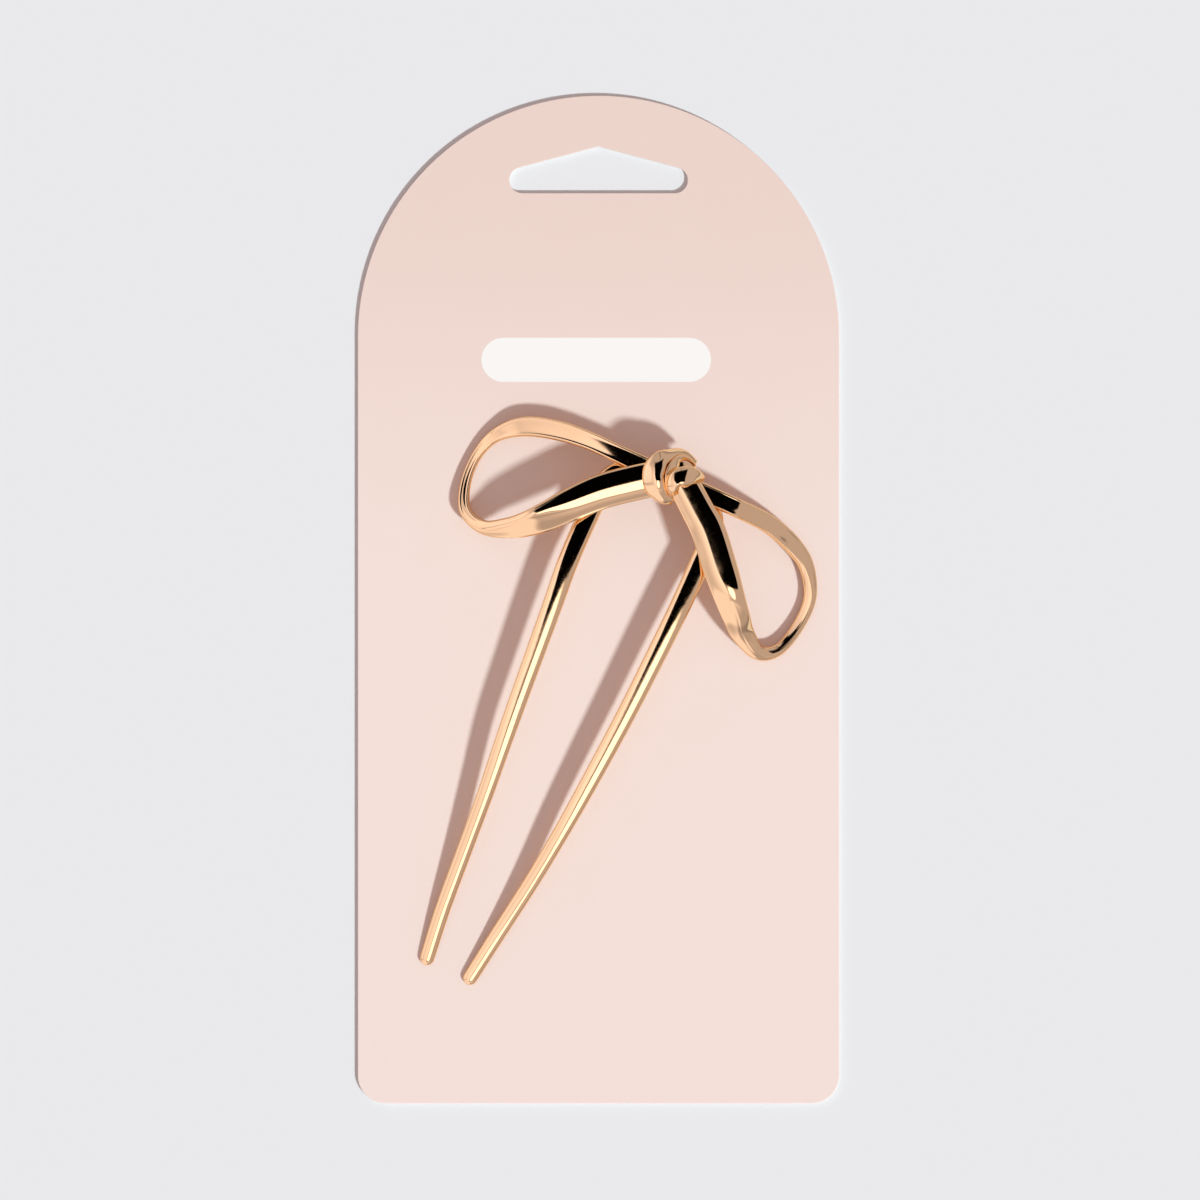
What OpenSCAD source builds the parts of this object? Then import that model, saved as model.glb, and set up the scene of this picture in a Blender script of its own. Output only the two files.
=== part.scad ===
// French hair pin with a ribbon bow, lying on its die-cut hang card.
// Millimetres. The card lies on its back: z = 0 is its back face, x = y = 0 is its middle,
// and +Y runs up the card. The pin is drawn in its own frame and laid on the card's face:
// there the knot's middle is at the origin, the prongs run towards -Y, and z = 0 is the face.

/* [Card] */
// Width of the card, and of its half-round top
card_w = 86; // [84:1:100]
// Length of the card, from its bottom edge to the top of the arch
card_l = 180; // [175:1:200]
// Thickness of the board
card_t = 0.8; // [0.6:0.1:1.5]
// Radius of the two bottom corners
corner_r = 5; // [2:1:12]

/* [Hang slot] */
// Width of the slot over its two round ends
slot_w = 31.8; // [28:0.1:34]
// Height of the round ends
slot_end_h = 4.6; // [4.2:0.1:6]
// Height from the straight bottom edge to the peak
slot_peak_h = 8.3; // [7.5:0.1:10]
// Distance from the top of the card down to the slot's bottom edge
slot_drop = 17.4; // [14:0.1:20]

/* [Pin on the card] */
// Place of the knot's middle across the card
pin_x = 13.1; // [10:0.1:15]
// Place of the knot's middle up the card
pin_y = 21.7; // [15:0.1:30]
// Turn of the pin from upright
pin_turn = -24.5; // [-27:0.5:-22]

/* [Fork] */
// Half of the distance between the prongs at the shoulders
shoulder_half = 10.8; // [10.6:0.1:11]
// Radius of the bend at each shoulder
shoulder_r = 7; // [6:0.5:7.5]
// Place of the crown's middle line, measured up from the knot's middle
crown_y = -0.5; // [-1:0.1:0]
// Height of the crown's middle above the card
crown_h = 3.7; // [3.5:0.1:3.7]
// Width of the crown
crown_w = 3.6; // [3:0.1:4]
// Thickness of the crown
crown_t = 2; // [1.6:0.1:2]

/* [Knot] */
// Width of the knot across the pin
knot_w = 10.8; // [10.4:0.1:11.2]
// Height of the knot's middle above the card
knot_h = 7.4; // [7.2:0.1:7.6]
// Height of the top of the knot above its middle
knot_rise = 3.8; // [3.5:0.1:4.2]
// Depth of the creases between its wraps, as a share of its radius
crease_depth = 0.08; // [0.02:0.01:0.1]

/* [Hidden] */
gap = 0.06; // clearance left between two pieces
sides = 16; // sides of a swept section
steps = 4; // rings between two rows of a table
squareness = 0.8; // 1 makes a section oval, and less makes it squarer

// Rows of the two prongs, from their tips up to the shoulders
// [along the pin, left and right prong off the middle line, their heights, width, thickness]
PRONGS = [
    [-96.1, 4.2, 4.25, 0.65, 0.65, 2.6, 1.05],
    [-87, 5.3, 5.5, 1.4, 1.25, 2.75, 1.1],
    [-76, 6.1, 7.1, 2.65, 2.5, 2.8, 1.1],
    [-64.5, 6.95, 8.35, 4.05, 3.8, 2.95, 1.15],
    [-54, 7.95, 9.2, 5.1, 4.4, 3.2, 1.15],
    [-42, 8.95, 10.0, 5.4, 4.75, 3.4, 1.2],
    [-30, 9.9, 10.5, 5.6, 4.95, 3.6, 1.25],
    [-20, 10.7, 10.8, 5.35, 4.85, 3.75, 1.4],
    [crown_y - shoulder_r, shoulder_half, shoulder_half, 4.2, 4.2, 3.9, 1.8]
];
nose_angles = [80, 60, 35]; // rings of a prong's round tip, in degrees from its widest

// Rows of the two ribbon loops. Each leaves the knot in front, turns and comes back behind.
// [across, along the pin, height, width, thickness, roll]
LEFT = [
    [-5.45, -3.55, 7.85, 6.4, 2.0, 2],
    [-10.35, -7.5, 7.8, 6.35, 2.0, 2.5],
    [-14.4, -11.9, 7.8, 5.9, 2.0, 2.5],
    [-17.2, -15.35, 7.85, 5.35, 2.0, 2],
    [-19.9, -18.15, 7.45, 4.6, 2.0, 1],
    [-22.9, -20.35, 5.9, 3.75, 2.0, -2],
    [-27.0, -22.0, 3.4, 2.6, 1.9, -6],
    [-31.1, -20.6, 2.1, 2.2, 1.7, -9],
    [-33.1, -16.0, 1.2, 1.95, 1.4, -9],
    [-33.3, -10.6, 0.95, 1.9, 1.3, -9],
    [-31.7, -6.1, 1.25, 2.5, 1.4, -9],
    [-27.7, -2.6, 2.5, 3.6, 1.6, -7],
    [-21.9, -0.8, 3.8, 3.6, 1.7, -4],
    [-16.3, -0.2, 4.9, 3.3, 1.7, -2],
    [-11.4, -0.2, 5.6, 3.3, 1.7, -1],
    [-6.8, -0.2, 5.85, 3.4, 1.7, -1]
];
RIGHT = [
    [6.5, -3.5, 7.85, 5.9, 2.0, -4],
    [9.9, -6.2, 7.85, 6.2, 2.0, -4],
    [14.8, -11.6, 7.85, 6.1, 2.0, -4],
    [18.0, -15.1, 7.6, 5.5, 2.0, -3],
    [20.7, -17.9, 6.2, 4.9, 2.0, -1],
    [23.1, -20.15, 4.1, 4.2, 2.0, 0],
    [27.0, -22.0, 2.3, 2.8, 1.9, 5],
    [30.1, -19.9, 1.5, 2.2, 1.8, 12],
    [31.5, -14.3, 1.1, 2.2, 1.7, 14],
    [31.2, -9.0, 1.05, 2.35, 1.7, 14],
    [28.3, -4.3, 1.25, 2.8, 1.7, 13],
    [24.6, -2.0, 1.75, 3.3, 1.7, 12],
    [21.3, -0.85, 2.2, 3.4, 1.7, 9],
    [18.5, -0.3, 2.9, 3.4, 1.7, 7],
    [16.0, -0.2, 4.1, 3.4, 1.7, 5],
    [13.5, -0.2, 5.5, 3.4, 1.7, 4],
    [10.6, -0.2, 5.85, 3.4, 1.7, 4],
    [6.8, -0.2, 5.85, 3.4, 1.7, 4]
];
// How far each loop's front end and back end reach into the knot
LEFT_STUBS = [4.2, 3.5];
RIGHT_STUBS = [5.2, 3.5];
socket_out = 1.5; // how far the sockets for those ends run on past the first row, to clear the knot

// The two creases between the knot's wraps, seen from the front
// [across, along the pin, radius]
CREASES = [
    [3.14, 0.11, 3.55],
    [3.83, 1.13, 5.36]
];
crease_w = 0.35; // half of a crease's width
wrap_rise = 0.055; // each wrap lies this share of the radius above the one outside it
wrap_edge = 0.2; // softness of the step between two wraps
wrap_fade = 0.35; // the wraps reach full depth at this share of the knot's rise, from none at its rim
knot_tilt = 30; // the rings of the knot are drawn round an axis leaning this far to the right
knot_rings = 24; // rings of facets from one pole of the knot to the other
knot_sides = 40; // facets round each ring
knot_seat = crown_h + crown_t / 2 + gap; // the knot's flat back, on the crown

// The notch under the knot's inner fold, where the right ribbon comes out in front
notch_turn = -37.5; // the way the ribbon leaves
notch_side = 1.2; // the ribbon's middle line passes this far beside the knot's middle
notch_w = 6.1; // width of the notch
notch_in = 2.5; // distance from the knot's middle to the notch's round end
notch_end_r = 4.7; // radius of that end

function unit(v) = v / norm(v);
function place(row) = [row[0], row[1], row[2]];

// One row on a smooth curve through four neighbouring rows, t of the way from b to c
function between(a, b, c, d, t) =
    b + (c - a) * t / 2 + (2 * a - 5 * b + 4 * c - d) * t * t / 2
    + (3 * b - a - 3 * c + d) * t * t * t / 2;
function kept(rows, i) = rows[min(max(i, 0), len(rows) - 1)];
function smooth(rows) = [
    for (i = [0:len(rows) - 2], k = [0:steps - 1])
        between(kept(rows, i - 1), rows[i], rows[i + 1], kept(rows, i + 2), k / steps),
    rows[len(rows) - 1]
];
function backwards(rows) = [for (i = [len(rows) - 1:-1:0]) rows[i]];

// The outline of a section with flat-sided faces and rounded edges
function squared(c) = sign(c) * pow(abs(c), squareness);
function section(w, t) = [
    for (i = [0:sides - 1])
        let (a = 360 * i / sides)
        [w / 2 * squared(cos(a)), t / 2 * squared(sin(a))]
];

// One ring: a row's section, square to the way the sweep runs there and rolled about it
function ring(row, way, grow = 0) =
    let (
        level = unit(cross([0, 0, 1], way)),
        up = cross(way, level),
        roll = len(row) > 5 ? row[5] : 0,
        side = level * cos(roll) + up * sin(roll),
        face = up * cos(roll) - level * sin(roll)
    )
    [for (p = section(row[3] + 2 * grow, row[4] + 2 * grow)) place(row) + side * p.x + face * p.y];
function rings(rows) = [
    for (i = [0:len(rows) - 1])
        ring(rows[i], unit(place(kept(rows, i + 1)) - place(kept(rows, i - 1))))
];

// A closed skin over a list of rings, as triangles
module skin(list) {
    n = len(list[0]);
    last = len(list) - 1;
    faces = concat(
        [[for (j = [0:n - 1]) j]],
        [for (i = [0:last - 1], j = [0:n - 1])
            [i * n + j, (i + 1) * n + j, (i + 1) * n + (j + 1) % n]],
        [for (i = [0:last - 1], j = [0:n - 1])
            [i * n + j, (i + 1) * n + (j + 1) % n, i * n + (j + 1) % n]],
        [[for (j = [n - 1:-1:0]) last * n + j]]
    );
    polyhedron([for (r = list, p = r) p], faces, convexity = 6);
}

// A row moved along a way, for a ribbon's end inside the knot
function moved(row, step) = [
    row[0] + step.x, row[1] + step.y, row[2] + step.z, row[3], row[4], row[5]
];
function front_way(rows) = unit(place(rows[1]) - place(rows[0]));
function back_way(rows) = unit(place(rows[len(rows) - 2]) - place(rows[len(rows) - 1]));

module ribbon(rows, stubs) {
    skin(rings(concat(
        [moved(rows[0], -front_way(rows) * stubs[0])],
        smooth(rows),
        [moved(rows[len(rows) - 1], -back_way(rows) * stubs[1])]
    )));
}

// The socket in the knot for one end of a ribbon, open from the end out past the knot
module socket(row, way, stub) {
    skin([
        ring(moved(row, -way * (stub + gap)), way, gap),
        ring(moved(row, way * socket_out), way, gap)
    ]);
}

// The rows run into the back socket, so seen from there the ribbon rolls the other way
module sockets(rows, stubs) {
    last = rows[len(rows) - 1];
    socket(rows[0], front_way(rows), stubs[0]);
    socket([for (i = [0:4]) last[i], -last[5]], back_way(rows), stubs[1]);
}

// One half of the fork: up the prong on that side and round the shoulder to the crown's middle
function half_fork(side, off, height) = concat(
    [for (p = smooth(PRONGS)) [side * p[off], p[0], p[height], p[5], p[6]]],
    [for (k = [1:steps * 2])
        let (s = k / (steps * 2), a = 180 - 90 * s, low = PRONGS[len(PRONGS) - 1])
        [
            -side * (shoulder_r - shoulder_half + shoulder_r * cos(a)),
            crown_y - shoulder_r + shoulder_r * sin(a),
            low[3] + (crown_h - low[3]) * s,
            low[5] + (crown_w - low[5]) * s,
            low[6] + (crown_t - low[6]) * s
        ]]
);
// Rings that close a prong's tip with a round nose
function nose(row, way) = [
    for (a = nose_angles)
        [
            row[0] + way.x * row[3] / 2 * sin(a),
            row[1] + way.y * row[3] / 2 * sin(a),
            row[2] + way.z * row[3] / 2 * sin(a),
            row[3] * cos(a),
            row[4] * sqrt(cos(a))
        ]
];

function tipped(half) = concat(nose(half[0], unit(place(half[0]) - place(half[1]))), half);

// Distance of a point of the knot from a crease, seen from the front
function off_crease(p, crease) = norm(p - [crease[0], crease[1]]) - crease[2];
// How far the knot stands out from an oval, as a share of its radius, in one direction
function wraps(q) =
    let (
        p = [q.x, q.y] * knot_w / 2,
        front = min(max(q.z / wrap_fade, 0), 1)
    )
    front * (
        wrap_rise * (inside(off_crease(p, CREASES[0])) + inside(off_crease(p, CREASES[1])))
        - crease_depth * (groove(off_crease(p, CREASES[0])) + groove(off_crease(p, CREASES[1])))
    );
function inside(d) = 1 / (1 + exp(d / wrap_edge));
function groove(d) = exp(-pow(d / crease_w, 2));
function knot_point(q) =
    let (s = 1 + wraps(q))
    [q.x * s * knot_w / 2, q.y * s * knot_w / 2, q.z * s * knot_rise];
function knot_way(polar, around) =
    let (x = sin(polar) * cos(around), z = cos(polar))
    [
        x * cos(knot_tilt) + z * sin(knot_tilt),
        sin(polar) * sin(around),
        z * cos(knot_tilt) - x * sin(knot_tilt)
    ];

module knot_body() {
    skin([
        for (i = [0:knot_rings])
            let (polar = min(max(180 - 180 * i / knot_rings, 0.5), 179.5))
            [for (j = [0:knot_sides - 1]) knot_point(knot_way(polar, 360 * j / knot_sides))]
    ]);
}

module notch() {
    middle = notch_in + notch_end_r;
    rotate(notch_turn) linear_extrude(knot_rise * 2) {
        intersection() {
            translate([middle, notch_side]) circle(notch_end_r, $fn = 64);
            translate([0, notch_side - notch_w / 2]) square([middle, notch_w]);
        }
        translate([middle - notch_end_r / 2, notch_side - notch_w / 2]) square([knot_w, notch_w]);
    }
}

// Lays something of the pin's own frame on the card
module on_card() {
    translate([pin_x, pin_y, card_t]) rotate(pin_turn) children();
}

module hang_slot() {
    r = slot_end_h / 2;
    end_x = slot_w / 2 - r;
    rise = slot_peak_h - r;
    slope = atan2(rise, end_x) - asin(r / norm([end_x, rise]));
    for (x = [-end_x, end_x]) translate([x, r]) circle(r, $fn = 48);
    polygon([
        [-end_x, 0],
        [end_x, 0],
        [end_x + r * sin(slope), r + r * cos(slope)],
        [0, slot_peak_h],
        [-end_x - r * sin(slope), r + r * cos(slope)]
    ]);
}

module card() {
    arch_r = card_w / 2;
    color([0.96, 0.87, 0.84]) linear_extrude(card_t) difference() {
        union() {
            translate([0, card_l / 2 - arch_r]) circle(arch_r, $fn = 180);
            translate([-arch_r, corner_r - card_l / 2]) square([card_w, card_l - arch_r - corner_r]);
            translate([corner_r - arch_r, -card_l / 2]) square([card_w - 2 * corner_r, corner_r * 2]);
            for (x = [corner_r - arch_r, arch_r - corner_r])
                translate([x, corner_r - card_l / 2]) circle(corner_r, $fn = 48);
        }
        translate([0, card_l / 2 - slot_drop]) hang_slot();
    }
}

module fork() {
    left = tipped(half_fork(-1, 1, 3));
    right = tipped(half_fork(1, 2, 4));
    color([0.93, 0.73, 0.5]) on_card() skin(rings(concat(left, backwards(right))));
}

module left_loop() {
    color([0.95, 0.76, 0.53]) on_card() ribbon(LEFT, LEFT_STUBS);
}

module right_loop() {
    color([0.95, 0.76, 0.53]) on_card() ribbon(RIGHT, RIGHT_STUBS);
}

module knot() {
    color([0.97, 0.8, 0.58]) on_card() difference() {
        translate([0, 0, knot_h]) knot_body();
        translate([-knot_w, -knot_w, 0]) cube([2 * knot_w, 2 * knot_w, knot_seat]);
        translate([0, 0, RIGHT[0][2]]) notch();
        sockets(LEFT, LEFT_STUBS);
        sockets(RIGHT, RIGHT_STUBS);
    }
}

card();
fork();
left_loop();
right_loop();
knot();
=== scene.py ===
import math

import bmesh
import bpy
from mathutils import Matrix, Vector


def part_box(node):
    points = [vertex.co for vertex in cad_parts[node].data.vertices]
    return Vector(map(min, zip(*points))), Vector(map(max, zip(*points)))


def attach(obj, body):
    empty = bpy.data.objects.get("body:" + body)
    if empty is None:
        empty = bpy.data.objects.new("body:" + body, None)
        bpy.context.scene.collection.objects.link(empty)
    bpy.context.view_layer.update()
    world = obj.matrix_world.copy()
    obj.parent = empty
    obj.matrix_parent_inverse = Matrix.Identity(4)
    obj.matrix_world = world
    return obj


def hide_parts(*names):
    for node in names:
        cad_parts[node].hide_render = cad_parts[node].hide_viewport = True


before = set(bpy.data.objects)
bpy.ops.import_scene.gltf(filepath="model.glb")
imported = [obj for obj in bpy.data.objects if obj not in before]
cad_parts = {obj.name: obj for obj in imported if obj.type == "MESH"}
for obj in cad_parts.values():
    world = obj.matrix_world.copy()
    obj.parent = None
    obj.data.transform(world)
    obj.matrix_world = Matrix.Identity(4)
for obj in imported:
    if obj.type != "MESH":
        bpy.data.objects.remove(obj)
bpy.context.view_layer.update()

# The photograph's view. The camera hangs far off and straight over the card, as a catalogue
# picture is taken, and sees 1200 pixels of 1/5.6 mm at the height of the card's face.
MM = 0.001
view_px = 1200
px_per_mm = 5.6
card_middle_px = (598.5, 599.5)
camera_rise = 1000 * MM
sensor_w = 36
far_end = 10
card_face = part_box("card")[1].z

view_w = view_px / px_per_mm * MM
camera_data = bpy.data.cameras.new("camera")
camera_data.sensor_width = sensor_w
camera_data.lens = camera_data.sensor_width * camera_rise / view_w
camera_data.clip_end = far_end
camera = bpy.data.objects.new("camera", camera_data)
camera.location = (
    (view_px / 2 - card_middle_px[0]) / px_per_mm * MM,
    (card_middle_px[1] - view_px / 2) / px_per_mm * MM,
    card_face + camera_rise,
)
bpy.context.scene.collection.objects.link(camera)
bpy.context.scene.camera = camera
bpy.context.scene.view_settings.view_transform = "Standard"

# The table: one wide sheet of matt pale grey paper, which the card lies on. It belongs to the
# picture and not to the object, and lies a hair below the card's back.
floor_half = 6.0
floor_drop = 0.05 * MM
floor_grey = (0.82, 0.82, 0.835, 1)

bm = bmesh.new()
bmesh.ops.create_grid(bm, x_segments=1, y_segments=1, size=floor_half)
bmesh.ops.translate(bm, verts=bm.verts, vec=(0, 0, -floor_drop))
floor_mesh = bpy.data.meshes.new("floor")
bm.to_mesh(floor_mesh)
bm.free()
floor = bpy.data.objects.new("floor", floor_mesh)
bpy.context.scene.collection.objects.link(floor)

floor_paper = bpy.data.materials.new("floor_paper")
floor_paper.use_nodes = True
floor_shader = floor_paper.node_tree.nodes["Principled BSDF"]
floor_shader.inputs["Base Color"].default_value = floor_grey
floor_shader.inputs["Roughness"].default_value = 0.9
floor_shader.inputs["Specular IOR Level"].default_value = 0.1
floor_mesh.materials.append(floor_paper)

# The light: one far lamp, low on the right and below the card, throws the soft shadows up to
# the left, and a white room fills them. Polished metal sees the room in more detail: a bright
# wall on the left and in front, the lamp's softbox, and the dark ceiling over the camera.
lamp_way = Vector((0.526, -0.502, 0.686))
lamp_strength = 2.45
lamp_angle = math.radians(6)
lamp_colour = (0.97, 1.14, 1.17)
fill_light = 0.48
fill_colour = (1.0, 0.81, 0.78)
# the walls' light overhead, its fall towards the horizon, and the least of it. A place in the
# room is the x and y of the direction to it, and (0, 0) is straight overhead
wall_high = 1.6
wall_fall = 1.4
wall_least = 0.5
# the walls' light behind the card, as a share, and on the right, which is the dim side
wall_behind = 1.08
behind = (-0.1, 0.15)
wall_right = 0.56
wall_turn = (-0.06, -0.16)
wall_front = (-0.45, -0.52)
wall_colour = (1.0, 0.9, 1.02)
horizon = (0.08, 0.32)
horizon_light = 0.6
# two broad windows, on the left and in front
window_light = 1.1
window_left = (-0.45, -0.62)
window_near = (-0.28, -0.1)
window_front = (-0.2, -0.36)
window_end = (0.08, -0.06)
softbox_middle = (0.07, -0.2)
softbox_reach = (0.15, 0.22)
softbox_core = 0.75
softbox_light = 1.5
# the dark ceiling's four edges, each from where it starts to where it is full
ceiling_slant = 0.45
ceiling_left = (-0.16, -0.12)
ceiling_right = (0.43, 0.37)
ceiling_near = (-0.025, 0.005)
ceiling_far = (0.68, 0.58)
# the camera's arm: its middle, its half width, its near end, and how much it shades
arm_middle = -0.07
arm_half = (0.0375, 0.015)
arm_near = (-0.3, -0.15)
arm_shade = 0.6

lamp_data = bpy.data.lights.new("lamp", "SUN")
lamp_data.angle = lamp_angle
lamp_data.energy = lamp_strength
lamp_data.color = lamp_colour
lamp = bpy.data.objects.new("lamp", lamp_data)
lamp.location = lamp_way
lamp.rotation_euler = lamp_way.to_track_quat("Z", "Y").to_euler()
lamp.visible_glossy = False
bpy.context.scene.collection.objects.link(lamp)

room = bpy.data.worlds.new("room")
bpy.context.scene.world = room
room.use_nodes = True
nodes = room.node_tree.nodes
links = room.node_tree.links
plain_room = nodes["Background"]
plain_room.inputs["Color"].default_value = (*fill_colour, 1)
plain_room.inputs["Strength"].default_value = fill_light

way = nodes.new("ShaderNodeTexCoord")
split = nodes.new("ShaderNodeSeparateXYZ")
links.new(way.outputs["Generated"], split.inputs["Vector"])


def soft_step(value, low, high):
    """0 below low, 1 above high, and a smooth step between."""
    step = nodes.new("ShaderNodeMapRange")
    step.interpolation_type = "SMOOTHSTEP"
    step.inputs["From Min"].default_value = low
    step.inputs["From Max"].default_value = high
    links.new(value, step.inputs["Value"])
    return step.outputs["Result"]


def worked_out(operation, first, second, third=None):
    """One step of arithmetic on values or plain numbers."""
    node = nodes.new("ShaderNodeMath")
    node.operation = operation
    for socket, term in zip(node.inputs, (first, second, third)):
        if isinstance(term, (int, float)):
            socket.default_value = term
        elif term is not None:
            links.new(term, socket)
    return node.outputs["Value"]


# The walls as the metal sees them: bright on the left and in front, and dimmer lower down
from_zenith = nodes.new("ShaderNodeCombineXYZ")
links.new(split.outputs["X"], from_zenith.inputs["X"])
links.new(split.outputs["Y"], from_zenith.inputs["Y"])
zenith_off = nodes.new("ShaderNodeVectorMath")
zenith_off.operation = "LENGTH"
links.new(from_zenith.outputs["Vector"], zenith_off.inputs[0])
wall_light = worked_out("MULTIPLY_ADD", zenith_off.outputs["Value"], -wall_fall, wall_high)
left_window = worked_out(
    "MULTIPLY",
    soft_step(split.outputs["X"], *window_left),
    soft_step(split.outputs["Y"], *window_near),
)
front_window = worked_out(
    "MULTIPLY",
    soft_step(split.outputs["X"], *window_end),
    soft_step(split.outputs["Y"], *window_front),
)
window = worked_out("MAXIMUM", left_window, front_window)
wall_light = worked_out(
    "MAXIMUM",
    wall_light,
    worked_out("MULTIPLY_ADD", window, window_light - wall_least, wall_least),
)
wall_light = worked_out(
    "MULTIPLY",
    wall_light,
    worked_out("MULTIPLY_ADD", soft_step(split.outputs["Y"], *behind), wall_behind - 1, 1.0),
)
bright_share = worked_out(
    "MAXIMUM",
    soft_step(split.outputs["X"], *wall_turn),
    soft_step(split.outputs["Y"], *wall_front),
)
wall_light = worked_out(
    "MULTIPLY_ADD", bright_share, worked_out("SUBTRACT", wall_light, wall_right), wall_right
)
wall_light = worked_out(
    "MULTIPLY",
    wall_light,
    worked_out(
        "MULTIPLY_ADD", soft_step(split.outputs["Z"], *horizon), 1 - horizon_light, horizon_light
    ),
)
# The lit softbox below the card: an oval in x and y
any_height = 1000
softbox_place = nodes.new("ShaderNodeMapping")
softbox_place.vector_type = "TEXTURE"
softbox_place.inputs["Location"].default_value = (*softbox_middle, 0)
softbox_place.inputs["Scale"].default_value = (*softbox_reach, any_height)
links.new(way.outputs["Generated"], softbox_place.inputs["Vector"])
softbox_off = nodes.new("ShaderNodeVectorMath")
softbox_off.operation = "LENGTH"
links.new(softbox_place.outputs["Vector"], softbox_off.inputs[0])
softbox_share = soft_step(softbox_off.outputs["Value"], 1.0, softbox_core)
# The dark ceiling over the camera, which reaches on behind the card's top, and the arm that
# holds the camera
slanted = worked_out("MULTIPLY_ADD", split.outputs["Y"], ceiling_slant, split.outputs["X"])
ceiling = worked_out(
    "MULTIPLY",
    worked_out(
        "MULTIPLY",
        soft_step(slanted, *ceiling_left),
        soft_step(split.outputs["X"], *ceiling_right),
    ),
    worked_out(
        "MULTIPLY",
        soft_step(split.outputs["Y"], *ceiling_near),
        soft_step(split.outputs["Y"], *ceiling_far),
    ),
)
arm_off = worked_out("ABSOLUTE", worked_out("SUBTRACT", split.outputs["X"], arm_middle), 0)
arm = worked_out(
    "MULTIPLY",
    soft_step(arm_off, *arm_half),
    soft_step(split.outputs["Y"], *arm_near),
)
open_share = worked_out(
    "MULTIPLY",
    worked_out("SUBTRACT", 1.0, ceiling),
    worked_out("MULTIPLY_ADD", arm, -arm_shade, 1.0),
)
seen_walls = nodes.new("ShaderNodeBackground")
seen_walls.inputs["Color"].default_value = (*wall_colour, 1)
links.new(worked_out("MULTIPLY", wall_light, open_share), seen_walls.inputs["Strength"])
seen_softbox = nodes.new("ShaderNodeBackground")
seen_softbox.inputs["Color"].default_value = (1, 1, 1, 1)
links.new(
    worked_out("MULTIPLY", worked_out("MULTIPLY", softbox_share, softbox_light), open_share),
    seen_softbox.inputs["Strength"],
)
shown_room = nodes.new("ShaderNodeAddShader")
links.new(seen_walls.outputs["Background"], shown_room.inputs[0])
links.new(seen_softbox.outputs["Background"], shown_room.inputs[1])
ray = nodes.new("ShaderNodeLightPath")
rooms = nodes.new("ShaderNodeMixShader")
links.new(ray.outputs["Is Glossy Ray"], rooms.inputs["Fac"])
links.new(plain_room.outputs["Background"], rooms.inputs[1])
links.new(shown_room.outputs["Shader"], rooms.inputs[2])
links.new(rooms.outputs["Shader"], nodes["World Output"].inputs["Surface"])

# The card: stiff white board, coated pale pink on its face, die-cut with a half-round top,
# round lower corners and a slot for a shop's hook. A plain white panel is printed on it.
card_low, card_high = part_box("card")
arch_r = card_high.x
corner_r = 5 * MM
slot_drop = 17.4 * MM
slot_half = 15.9 * MM
slot_end_r = 2.3 * MM
slot_peak = 8.3 * MM
cut_edge_r = 0.12 * MM
arch_sides = 180
round_sides = 64
cutter_low = -1 * MM
cutter_high = 2 * MM


def add_disc(bm, x, y, radius, low, high, segments):
    """One upright disc, as a corner for a board's outline."""
    bmesh.ops.create_cone(
        bm,
        cap_ends=True,
        segments=segments,
        radius1=radius,
        radius2=radius,
        depth=high - low,
        matrix=Matrix.Translation((x, y, (low + high) / 2)),
    )


def board_between(bm):
    """Stretches one flat-faced board round all that is in the mesh."""
    bmesh.ops.delete(bm, geom=bm.faces[:] + bm.edges[:], context="EDGES_FACES")
    bmesh.ops.convex_hull(bm, input=bm.verts)
    bmesh.ops.delete(bm, geom=[v for v in bm.verts if not v.link_faces], context="VERTS")
    bmesh.ops.dissolve_limit(
        bm, angle_limit=math.radians(0.5), verts=bm.verts, edges=bm.edges
    )
    bmesh.ops.recalc_face_normals(bm, faces=bm.faces)


def new_piece(name, bm):
    """Makes an object of a mesh in the making."""
    mesh = bpy.data.meshes.new(name)
    bm.to_mesh(mesh)
    bm.free()
    piece = bpy.data.objects.new(name, mesh)
    bpy.context.scene.collection.objects.link(piece)
    return piece


def apply_modifiers(piece):
    """Turns a piece's modifiers into plain mesh."""
    shaped = piece.evaluated_get(bpy.context.evaluated_depsgraph_get())
    mesh = bpy.data.meshes.new_from_object(shaped)
    piece.modifiers.clear()
    piece.data = mesh


bm = bmesh.new()
add_disc(bm, 0, card_high.y - arch_r, arch_r, card_low.z, card_high.z, arch_sides)
for x in (corner_r - arch_r, arch_r - corner_r):
    add_disc(bm, x, card_low.y + corner_r, corner_r, card_low.z, card_high.z, round_sides)
board_between(bm)
board = new_piece("board", bm)

bm = bmesh.new()
slot_y = card_high.y - slot_drop
for x in (slot_end_r - slot_half, slot_half - slot_end_r):
    add_disc(bm, x, slot_y + slot_end_r, slot_end_r, cutter_low, cutter_high, round_sides)
for z in (cutter_low, cutter_high):
    bmesh.ops.create_vert(bm, co=(0, slot_y + slot_peak, z))
board_between(bm)
slot_cutter = new_piece("slot_cutter", bm)

punched = board.modifiers.new("slot", "BOOLEAN")
punched.operation = "DIFFERENCE"
punched.object = slot_cutter
softened = board.modifiers.new("cut_edge", "BEVEL")
softened.width = cut_edge_r
softened.segments = 3
softened.angle_limit = math.radians(50)
softened.harden_normals = True
apply_modifiers(board)
bpy.data.objects.remove(slot_cutter)

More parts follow.
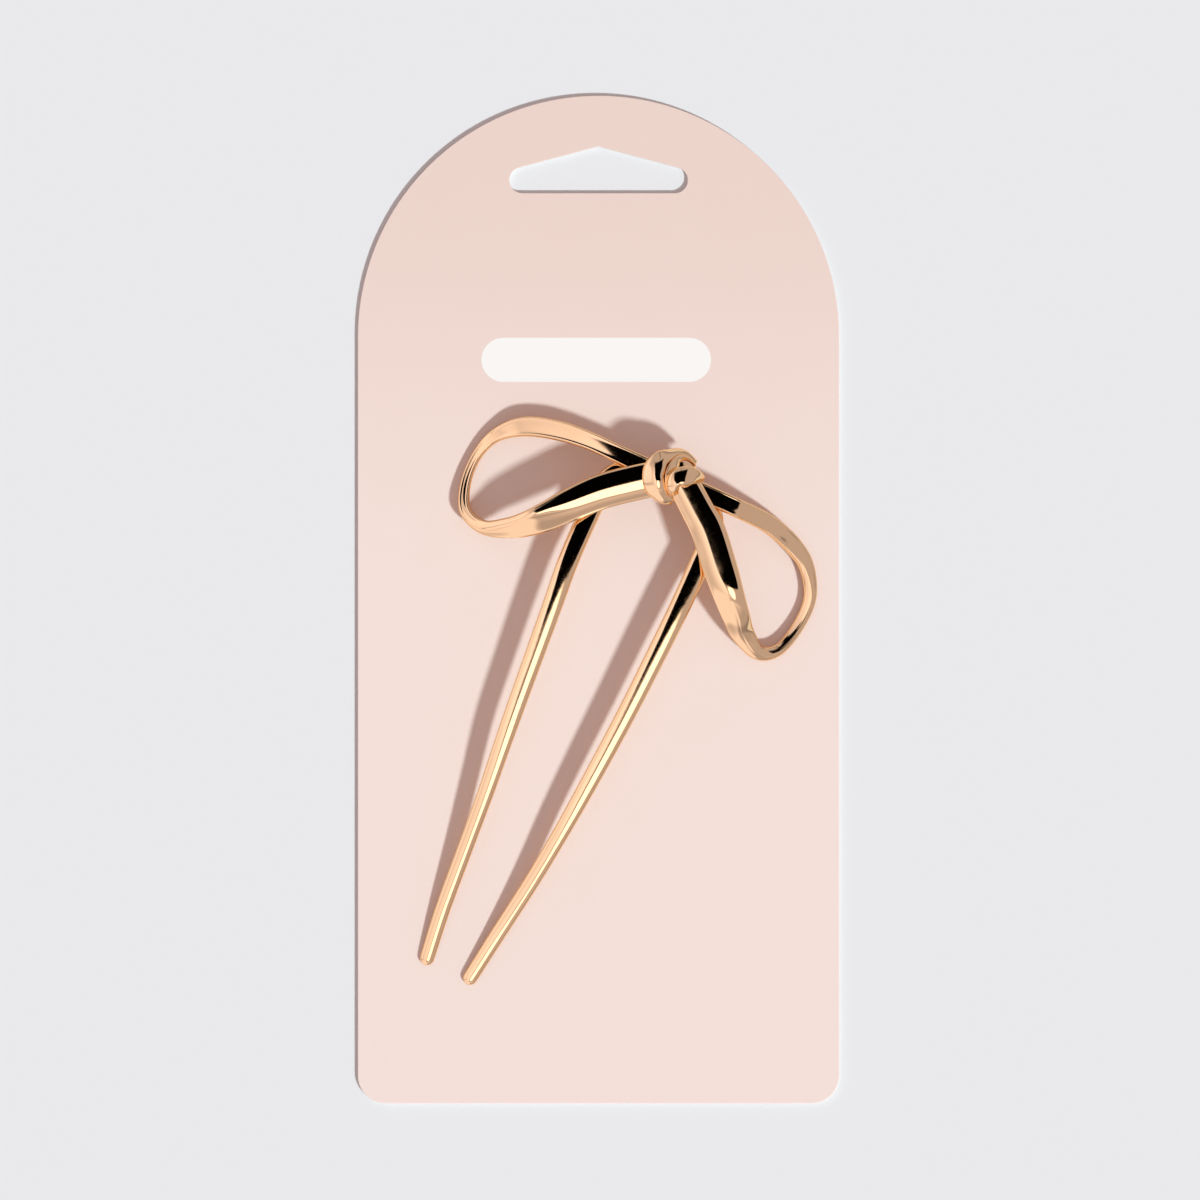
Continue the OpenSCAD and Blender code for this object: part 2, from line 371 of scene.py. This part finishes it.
# The board's colours: a pink print with painted shade that makes it a little darker towards the
# top, a bare white panel in it, and the white core and back. The coat shows a faint grain.
pink_at_bottom = (0.915, 0.755, 0.70, 1)
pink_with_painted_shade_at_top = (0.845, 0.665, 0.60, 1)
painted_shade_from = 0 * MM
painted_shade_to = 80 * MM
print_blur = 0.06 * MM
mottle_pink = (0.80, 0.60, 0.53, 1)
mottle_share = 0.12
mottle_scale = 1 / (9 * MM)
panel_white = (0.96, 0.93, 0.91, 1)
core_white = (0.76, 0.71, 0.68, 1)
panel_middle = (-0.4 * MM, 42.8 * MM, 0)
panel_half = 20.5 * MM
panel_end_r = 3.95 * MM
coat_depth = 0.05 * MM
grain_scale = 1 / (0.5 * MM)
grain_depth = 0.004 * MM
coat_roughness = 0.62
grain_roughness = 0.2

board_paper = bpy.data.materials.new("pink_coated_board")
board_paper.use_nodes = True
nodes = board_paper.node_tree.nodes
links = board_paper.node_tree.links
board_shader = nodes["Principled BSDF"]
board_shader.inputs["Specular IOR Level"].default_value = 0.15
place = nodes.new("ShaderNodeTexCoord").outputs["Object"]
spot = nodes.new("ShaderNodeSeparateXYZ")
links.new(place, spot.inputs["Vector"])


def mixed(share, first, second):
    """One colour, turned into another by a share."""
    node = nodes.new("ShaderNodeMix")
    node.data_type = "RGBA"
    links.new(share, node.inputs["Factor"])
    for socket, term in ((node.inputs["A"], first), (node.inputs["B"], second)):
        if isinstance(term, tuple):
            socket.default_value = term
        else:
            links.new(term, socket)
    return node.outputs["Result"]


# the pink turns darker towards the card's top: this is painted shade, not a change in the print
pink = mixed(soft_step(spot.outputs["Y"], painted_shade_from, painted_shade_to), pink_at_bottom, pink_with_painted_shade_at_top)
mottle = nodes.new("ShaderNodeTexNoise")
mottle.inputs["Scale"].default_value = mottle_scale
mottle.inputs["Detail"].default_value = 4
links.new(place, mottle.inputs["Vector"])
pink = mixed(worked_out("MULTIPLY", mottle.outputs["Fac"], mottle_share), pink, mottle_pink)
# The panel's edge: the distance from the line between its two round ends
panel_place = nodes.new("ShaderNodeMapping")
panel_place.inputs["Location"].default_value = [-c for c in panel_middle]
links.new(place, panel_place.inputs["Vector"])
from_middle = nodes.new("ShaderNodeSeparateXYZ")
links.new(panel_place.outputs["Vector"], from_middle.inputs["Vector"])
past_end = worked_out(
    "MAXIMUM",
    worked_out(
        "SUBTRACT", worked_out("ABSOLUTE", from_middle.outputs["X"], 0), panel_half - panel_end_r
    ),
    0,
)
from_line = nodes.new("ShaderNodeCombineXYZ")
links.new(past_end, from_line.inputs["X"])
links.new(from_middle.outputs["Y"], from_line.inputs["Y"])
reach = nodes.new("ShaderNodeVectorMath")
reach.operation = "LENGTH"
links.new(from_line.outputs["Vector"], reach.inputs[0])
in_panel = soft_step(
    reach.outputs["Value"], panel_end_r + print_blur, panel_end_r - print_blur
)
face_colour = mixed(in_panel, pink, panel_white)
coated = soft_step(spot.outputs["Z"], card_high.z - 2 * coat_depth, card_high.z - coat_depth)
links.new(mixed(coated, core_white, face_colour), board_shader.inputs["Base Color"])

grain = nodes.new("ShaderNodeTexNoise")
grain.inputs["Scale"].default_value = grain_scale
grain.inputs["Detail"].default_value = 6
links.new(place, grain.inputs["Vector"])
links.new(
    worked_out("MULTIPLY_ADD", grain.outputs["Fac"], grain_roughness, coat_roughness),
    board_shader.inputs["Roughness"],
)
grained = nodes.new("ShaderNodeBump")
grained.inputs["Distance"].default_value = grain_depth
links.new(grain.outputs["Fac"], grained.inputs["Height"])
links.new(grained.outputs["Normal"], board_shader.inputs["Normal"])
board.data.materials.append(board_paper)
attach(board, "root")
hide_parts("card")

# The pin lies on the card with its knot up to the right and its prongs slanting down to the
# left. Its pieces are drawn with the knot at the origin and the prongs towards -Y.
knot_spot = (13.1 * MM, 21.7 * MM, card_face)
pin_turn = math.radians(-24.5)
pin_place = (
    Matrix.Translation(knot_spot)
    @ Matrix.Rotation(pin_turn, 4, "Z")
    @ Matrix.Scale(MM, 4)
)

# The fork: one strip of cast metal, bent to a long narrow U and tapered to two round tips.
# It is polished and plated with pale rose gold, and the bow is soldered over its crown.
shoulder_r = 7.0
flank_width = 0.5
face_crown = 0.1
tip_angles = (20, 40, 58, 72, 85)
prong_steps = 4
bend_steps = 8
polish_levels = 2
# each row: the place along the pin, the left and the right prong off the middle line, their
# heights, and the width and thickness of both
prong_rows = [
    (-96.1, 4.2, 4.25, 0.65, 0.65, 2.6, 1.05),
    (-87, 5.3, 5.5, 1.4, 1.25, 2.75, 1.1),
    (-76, 6.1, 7.1, 2.65, 2.5, 2.8, 1.1),
    (-64.5, 6.95, 8.35, 4.05, 3.8, 2.95, 1.15),
    (-54, 7.95, 9.2, 5.1, 4.4, 3.2, 1.15),
    (-42, 8.95, 10.0, 5.4, 4.75, 3.4, 1.2),
    (-30, 9.9, 10.5, 5.6, 4.95, 3.6, 1.25),
    (-20, 10.7, 10.8, 5.35, 4.85, 3.75, 1.4),
    (-7.5, 10.8, 10.8, 4.2, 4.2, 3.9, 1.8),
]
# the crown's place along the pin, height, width and thickness
crown_row = (-0.5, 3.7, 3.6, 2.0)


def smoothed(rows, steps):
    """Rows on a smooth curve through the given ones."""
    rows = [Vector(row) for row in rows]
    out = []
    for i in range(len(rows) - 1):
        a, b, c = rows[max(i - 1, 0)], rows[i], rows[i + 1]
        d = rows[min(i + 2, len(rows) - 1)]
        for k in range(steps):
            t = k / steps
            out.append(
                b
                + (c - a) * (t / 2)
                + (2 * a - 5 * b + 4 * c - d) * (t * t / 2)
                + (3 * b - a - 3 * c + d) * (t**3 / 2)
            )
    return out + [rows[-1]]


def cast_band(rows, outline):
    """A closed band of metal, with an outline at each row of x, y, z, width, thickness, roll."""
    rings = [outline(row) for row in rows]
    sides = len(rings[0])
    last = len(rows) - 1
    # A straight tube is cut into one ring for each row, and its points move to their places
    bm = bmesh.new()
    bmesh.ops.create_cone(bm, cap_ends=True, segments=sides, radius1=1, radius2=1, depth=last)
    lengthwise = [e for e in bm.edges if abs(e.verts[0].co.z - e.verts[1].co.z) > 0.5]
    bmesh.ops.subdivide_edges(bm, edges=lengthwise, cuts=last - 1, use_grid_fill=True)
    spots = [Vector(row[:3]) for row in rows]
    for v in bm.verts:
        i = round(v.co.z + last / 2)
        across, upward = rings[i][round(math.atan2(v.co.x, v.co.y) / math.tau * sides) % sides]
        along = (spots[min(i + 1, last)] - spots[max(i - 1, 0)]).normalized()
        level = Vector((0, 0, 1)).cross(along).normalized()
        up = along.cross(level)
        roll = math.radians(rows[i][5]) if len(rows[i]) > 5 else 0
        side = level * math.cos(roll) + up * math.sin(roll)
        face = up * math.cos(roll) - level * math.sin(roll)
        v.co = spots[i] + side * across + face * upward
    bmesh.ops.recalc_face_normals(bm, faces=bm.faces)
    # The tool takes a tightly curled band's inside for its outside, which makes its volume negative
    if bm.calc_volume(signed=True) < 0:
        bmesh.ops.reverse_faces(bm, faces=bm.faces)
    return bm


def bar(row):
    """A strip's outline: a slightly crowned face, two bevelled flanks and a flat back."""
    half, deep = row[3] / 2, row[4] / 2
    flank = min(flank_width, 0.36 * half)
    crown = min(face_crown, 0.08 * half)
    edge = deep - crown
    side = [
        (half - 0.2 * flank, -0.85 * deep),
        (half, -0.45 * deep),
        (half, 0),
        (half - 0.25 * flank, 0.45 * edge),
        (half - 0.6 * flank, 0.8 * edge),
        (half - flank, edge),
        (0.6 * (half - flank), edge + 0.64 * crown),
        (0.2 * (half - flank), edge + 0.96 * crown),
    ]
    foot = (half - 0.8 * flank, -deep)
    far_side = [(-x, y) for x, y in reversed(side)]
    return side + far_side + [(-foot[0], foot[1]), foot]


def polish(piece):
    """Smooths a cast piece as polishing does."""
    for face in piece.data.polygons:
        face.use_smooth = True
    smooth = piece.modifiers.new("smooth", "SUBSURF")
    smooth.levels = polish_levels
    smooth.render_levels = polish_levels


halves = []
for side, off, height in ((-1, 1, 3), (1, 2, 4)):
    half = [
        (side * row[off], row[0], row[height], row[5], row[6])
        for row in smoothed(prong_rows, prong_steps)
    ]
    tip, low = half[0], half[-1]
    down = (Vector(tip[:3]) - Vector(half[1][:3])).normalized()
    for angle in tip_angles:
        narrow = math.cos(math.radians(angle))
        spot = Vector(tip[:3]) + down * (tip[3] / 2 * math.sin(math.radians(angle)))
        half.insert(0, (*spot, tip[3] * narrow, tip[4] * narrow**0.5))
    for k in range(1, bend_steps + 1):
        s = k / bend_steps
        angle = math.radians(180 - 90 * s)
        half.append(
            (
                low[0] - side * shoulder_r * (1 + math.cos(angle)),
                crown_row[0] - shoulder_r + shoulder_r * math.sin(angle),
                low[2] + (crown_row[1] - low[2]) * s,
                low[3] + (crown_row[2] - low[3]) * s,
                low[4] + (crown_row[3] - low[4]) * s,
            )
        )
    halves.append(half)

bm = cast_band(halves[0] + halves[1][::-1], bar)
bmesh.ops.transform(bm, verts=bm.verts, matrix=pin_place)
fork = new_piece("pin_fork", bm)
polish(fork)

# The plate: bright rose gold, with faint clouds in its colour, a little haze from handling
# and the gentle unevenness of a hand-polished casting.
gold_pale = (0.955, 0.67, 0.38, 1)
gold_deep = (0.93, 0.62, 0.33, 1)
edge_tint = (1.0, 0.86, 0.70, 1)
cloud_scale = 1 / (7 * MM)
haze_scale = 1 / (1.2 * MM)
wave_scale = 1 / (2.2 * MM)
wave_depth = 0.006 * MM
mirror_roughness = 0.03
haze_roughness = 0.06

gold = bpy.data.materials.new("pale_rose_gold_plate")
gold.use_nodes = True
nodes = gold.node_tree.nodes
links = gold.node_tree.links
gold_shader = nodes["Principled BSDF"]
gold_shader.inputs["Metallic"].default_value = 1.0
gold_shader.inputs["Specular Tint"].default_value = edge_tint
place = nodes.new("ShaderNodeTexCoord").outputs["Object"]


def noise(scale, detail):
    """Soft random patches, as a value."""
    node = nodes.new("ShaderNodeTexNoise")
    node.inputs["Scale"].default_value = scale
    node.inputs["Detail"].default_value = detail
    links.new(place, node.inputs["Vector"])
    return node.outputs["Fac"]


links.new(mixed(noise(cloud_scale, 3), gold_pale, gold_deep), gold_shader.inputs["Base Color"])
links.new(
    worked_out("MULTIPLY_ADD", noise(haze_scale, 5), haze_roughness, mirror_roughness),
    gold_shader.inputs["Roughness"],
)
waves = nodes.new("ShaderNodeBump")
waves.inputs["Distance"].default_value = wave_depth
links.new(noise(wave_scale, 2), waves.inputs["Height"])
links.new(waves.outputs["Normal"], gold_shader.inputs["Normal"])
fork.data.materials.append(gold)
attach(fork, "root")
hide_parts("fork")

# The bow's two loops: cast to look like a ribbon that leaves the knot in front, turns on
# its edge and comes back behind. Both ends of each are buried in the knot.
rim_width = 0.13
edge_round = 0.42
edge_angles = (0, 30, 60, 85)
loop_steps = 6
# how far each slope has fallen at shares of its width: one has a crease at its top
creased_slope = [(1, 0.5), (0.5, 0.2), (0.1, 0.06), (0, 0)]
rounded_slope = [(1, 0.36), (0.6, 0.16), (0.25, 0.045), (0, 0)]
# each row: across and along the pin, height, width, thickness and roll, then the slopes on the
# band's left and right as it leaves the knot, the face's crown and the rims' height
left_rows = [
    (-1.3, -0.5, 7.9, 6.2, 2.0, 2, 1.7, 0.5, 0.24, 0),
    (-5.45, -3.55, 7.85, 6.4, 2.0, 2, 1.75, 0.5, 0.24, 0),
    (-10.35, -7.5, 7.8, 6.35, 2.0, 2.5, 1.8, 0.55, 0.24, 0),
    (-14.4, -11.9, 7.8, 5.9, 2.0, 2.5, 2.1, 0.6, 0.24, 0),
    (-17.2, -15.35, 7.85, 5.35, 2.0, 0, 2.9, 0.55, 0.22, 0),
    (-19.9, -18.15, 7.45, 4.6, 2.0, -2, 3.1, 0.5, 0.2, 0),
    (-22.9, -20.35, 5.9, 3.75, 2.0, -4, 2.1, 0.4, 0.18, 0),
    (-27.0, -22.0, 3.4, 2.6, 1.9, -6, 0.8, 0.35, 0.12, 0.02),
    (-31.1, -20.6, 2.1, 2.2, 1.7, -9, 0.45, 0.35, 0.06, 0.05),
    (-33.1, -16.0, 1.2, 1.95, 1.4, -9, 0.35, 0.35, 0.04, 0.08),
    (-33.3, -10.6, 0.95, 1.9, 1.3, -9, 0.35, 0.35, 0.04, 0.1),
    (-31.7, -6.1, 1.25, 2.5, 1.4, -9, 0.35, 0.35, 0.04, 0.1),
    (-27.7, -2.6, 2.5, 3.6, 1.6, -7, 0.35, 0.35, 0.04, 0.08),
    (-21.9, -0.8, 3.8, 3.6, 1.7, -4, 0.35, 0.35, 0.04, 0.06),
    (-16.3, -0.2, 4.9, 3.3, 1.7, -2, 0.35, 0.35, 0.03, 0.04),
    (-11.4, -0.2, 5.6, 3.3, 1.7, -1, 0.35, 0.35, 0.03, 0.03),
    (-6.8, -0.2, 5.85, 3.4, 1.7, -1, 0.35, 0.35, 0.03, 0.03),
    (-3.3, -0.2, 5.85, 3.4, 1.7, -1, 0.35, 0.35, 0.03, 0.03),
]
right_rows = [
    (1.3, 0.5, 7.9, 5.7, 2.0, -4, 0.85, 2.1, 0.07, 0),
    (6.5, -3.5, 7.85, 5.9, 2.0, -4, 0.85, 2.2, 0.07, 0),
    (9.9, -6.2, 7.85, 6.2, 2.0, -4, 0.9, 2.35, 0.07, 0),
    (14.8, -11.6, 7.85, 6.1, 2.0, -4, 0.9, 2.4, 0.07, 0),
    (18.0, -15.1, 7.8, 5.5, 2.0, -3, 0.75, 2.75, 0.1, 0),
    (20.7, -17.9, 6.5, 4.9, 2.0, -1, 0.7, 2.5, 0.14, 0),
    (23.1, -20.15, 4.1, 4.2, 2.0, 0, 0.7, 1.8, 0.16, 0),
    (27.0, -22.0, 2.3, 2.8, 1.9, 5, 0.7, 0.9, 0.12, 0),
    (30.1, -19.9, 1.5, 2.2, 1.8, 6, 0.85, 0.45, 0.06, 0.02),
    (31.5, -14.3, 1.1, 2.2, 1.7, 10, 1.2, 0.35, 0.04, 0.02),
    (31.2, -9.0, 1.05, 2.35, 1.7, 14, 1.15, 0.35, 0.04, 0.03),
    (28.3, -4.3, 1.25, 2.8, 1.7, 13, 0.75, 0.35, 0.04, 0.05),
    (24.6, -2.0, 1.75, 3.3, 1.7, 12, 0.35, 0.35, 0.04, 0.05),
    (21.3, -0.85, 2.2, 3.4, 1.7, 9, 0.35, 0.35, 0.04, 0.04),
    (18.5, -0.3, 2.9, 3.4, 1.7, 7, 0.35, 0.35, 0.04, 0.04),
    (16.0, -0.2, 4.1, 3.4, 1.7, 5, 0.35, 0.35, 0.03, 0.03),
    (13.5, -0.2, 5.5, 3.4, 1.7, 4, 0.35, 0.35, 0.03, 0.03),
    (10.6, -0.2, 5.85, 3.4, 1.7, 4, 0.35, 0.35, 0.03, 0.03),
    (6.8, -0.2, 5.85, 3.4, 1.7, 4, 0.35, 0.35, 0.03, 0.03),
    (3.3, -0.2, 5.85, 3.4, 1.7, 4, 0.35, 0.35, 0.03, 0.03),
]


def ribbon(row):
    """A ribbon's outline: a crowned face between two rims, a slope on each side, a flat back."""
    half, deep = row[3] / 2, row[4] / 2
    crown, rim = row[8], row[9]
    edge = deep - crown
    sides = []
    for slope, falls in zip(row[6:8], (creased_slope, rounded_slope)):
        facet = max(slope - edge_round, 0.04)
        round_edge = slope - facet
        shelf = edge - falls[0][1] * facet
        rise = []
        for angle in edge_angles:
            c = math.cos(math.radians(angle))
            s = math.sin(math.radians(angle))
            rise.append((half - round_edge * (1 - c), -0.1 * deep + (shelf + 0.1 * deep) * s))
        for share, fall in falls[1:]:
            rise.append((half - slope + facet * share, edge - facet * fall))
        sides.append(rise)
    left, right = sides
    right = [(-x, y) for x, y in right]
    span = left[-1][0] - right[-1][0]
    face = [
        (left[-1][0] - rim_width, 0),
        (left[-1][0] - 2 * rim_width, rim),
        (left[-1][0] - 0.3 * span, rim),
        (left[-1][0] - 0.43 * span, rim),
        (left[-1][0] - 0.57 * span, rim),
        (left[-1][0] - 0.7 * span, rim),
        (right[-1][0] + 2 * rim_width, rim),
        (right[-1][0] + rim_width, 0),
    ]
    middle = (left[-1][0] + right[-1][0]) / 2
    face = [
        (x, edge - sunk + crown * (1 - (2 * (x - middle) / span) ** 2)) for x, sunk in face
    ]
    back = [
        (sign * (half - inset), rise - deep)
        for sign, inset, rise in (
            (-1, 0.05, 0.25),
            (-1, 0.2, 0.04),
            (-1, 0.5, 0),
            (1, 0.5, 0),
            (1, 0.2, 0.04),
            (1, 0.05, 0.25),
        )
    ]
    return left + face + right[::-1] + back


for name, rows in (("left_loop", left_rows), ("right_loop", right_rows)):
    bm = cast_band(smoothed(rows, loop_steps), ribbon)
    bmesh.ops.transform(bm, verts=bm.verts, matrix=pin_place)
    loop = new_piece("bow_" + name, bm)
    polish(loop)
    loop.data.materials.append(gold)
    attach(loop, "root")
    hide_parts(name)

# The knot: a cast ball of three wraps of ribbon round a core. A broad wrap lies outermost on
# the left, a second one inside it, and the last fold arches over the right-hand ribbon.
knot_place = Matrix.Translation(knot_spot) @ Matrix.Scale(MM, 4)
core_middle = (0.2, 0, 6.4)
core_reach = (4.4, 4.4, 1.8)
core_sides = 48
wrap_steps = 5
# each wrap's outline: outwards and up from its crest
outer_outline = [
    (2.5, -3.9), (2.62, -2.6), (2.62, -1.6), (2.5, -1.0), (2.2, -0.7), (1.5, -0.4),
    (0.9, -0.16), (0.4, -0.03), (0, 0), (-0.45, -0.02), (-0.85, -0.08), (-1.2, -0.25),
    (-1.4, -0.7), (-1.45, -1.6), (-1.4, -3.2),
]
second_outline = [
    (0.22, -2.6), (0.24, -0.9), (0.2, -0.35), (0.1, -0.08), (0, 0), (-0.2, -0.05),
    (-0.6, -0.22), (-1.2, -0.55), (-1.6, -1.1), (-1.7, -2.6),
]
fold_outline = [
    (1.4, -2.4), (1.52, -1.4), (1.5, -0.7), (1.35, -0.4), (1.05, -0.24), (0.6, -0.12),
    (0.1, -0.04), (-0.4, 0), (-0.85, 0), (-1.2, -0.14), (-1.45, -0.5), (-1.55, -1.2),
    (-1.4, -2.4),
]
# each row: the crest's place across and up the card from the knot's middle, and its height,
# then the outline's width and depth as shares, and its roll
outer_wrap = [
    (0.3, -4.2, 8.0, 0.3, 0.6, 0),
    (-0.7, -3.9, 8.7, 0.5, 0.8, 0),
    (-1.5, -3.28, 9.2, 0.7, 0.9, 0),
    (-2.2, -2.2, 9.75, 0.93, 1, 0),
    (-2.7, -0.99, 9.95, 1, 1, 0),
    (-2.85, 0.28, 9.93, 1, 1, 0),
    (-2.45, 1.56, 9.78, 1, 1, 0),
    (-1.7, 2.8, 9.45, 0.85, 1, 0),
    (-0.48, 3.6, 8.8, 0.66, 0.9, 0),
    (0.92, 4.15, 7.9, 0.4, 0.8, 0),
    (2.2, 3.9, 7.2, 0.35, 0.7, 0),
    (3.3, 3.1, 6.9, 0.3, 0.6, 0),
    (4.0, 2.2, 6.6, 0.3, 0.6, 0),
]
second_wrap = [
    (0.0, -4.1, 8.2, 0.7, 0.8, 0),
    (-0.46, -3.3, 8.85, 0.8, 1, 0),
    (-0.94, -2.34, 9.3, 0.9, 1, 0),
    (-1.22, -1.1, 9.6, 1, 1, 0),
    (-1.21, 0.07, 9.7, 1, 1, 0),
    (-0.94, 1.22, 9.65, 1.1, 1, 0),
    (-0.41, 2.27, 9.35, 1.2, 1, 0),
    (0.4, 3.24, 8.8, 1.2, 1, 0),
    (1.35, 3.75, 8.2, 1.1, 0.9, 0),
    (2.5, 3.6, 7.7, 1, 0.8, 0),
    (3.5, 2.9, 7.4, 0.9, 0.8, 0),
    (4.2, 2.0, 7.1, 0.8, 0.7, 0),
]
last_fold = [
    (0.3, -3.5, 9.3, 0.4, 0.9, 0),
    (0.0, -2.6, 10.6, 0.55, 1, -2),
    (0.1, -1.4, 11.0, 0.82, 1, -4),
    (0.75, -0.4, 11.0, 1.08, 1, -5),
    (2.0, 0.1, 10.95, 1.24, 1, -5),
    (3.3, 0.1, 10.6, 1.18, 1, -4),
    (4.3, -0.15, 10.0, 0.98, 1, -2),
    (4.95, -0.6, 9.0, 0.78, 0.9, 0),
    (5.25, -1.0, 7.9, 0.6, 0.8, 0),
]


def scaled(outline):
    """An outline that each row stretches."""
    return lambda row: [(x * row[3], y * row[4]) for x, y in outline]


bm = bmesh.new()
bmesh.ops.create_uvsphere(bm, u_segments=core_sides, v_segments=core_sides // 2, radius=1)
bmesh.ops.scale(bm, verts=bm.verts, vec=core_reach)
bmesh.ops.translate(bm, verts=bm.verts, vec=core_middle)
for rows, outline in (
    (outer_wrap, outer_outline),
    (second_wrap, second_outline),
    (last_fold, fold_outline),
):
    wrap = cast_band(smoothed(rows, wrap_steps), scaled(outline))
    mesh = bpy.data.meshes.new("wrap")
    wrap.to_mesh(mesh)
    wrap.free()
    bm.from_mesh(mesh)
    bpy.data.meshes.remove(mesh)
bmesh.ops.transform(bm, verts=bm.verts, matrix=knot_place)
knot = new_piece("bow_knot", bm)
polish(knot)
knot.data.materials.append(gold)
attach(knot, "root")
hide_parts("knot")
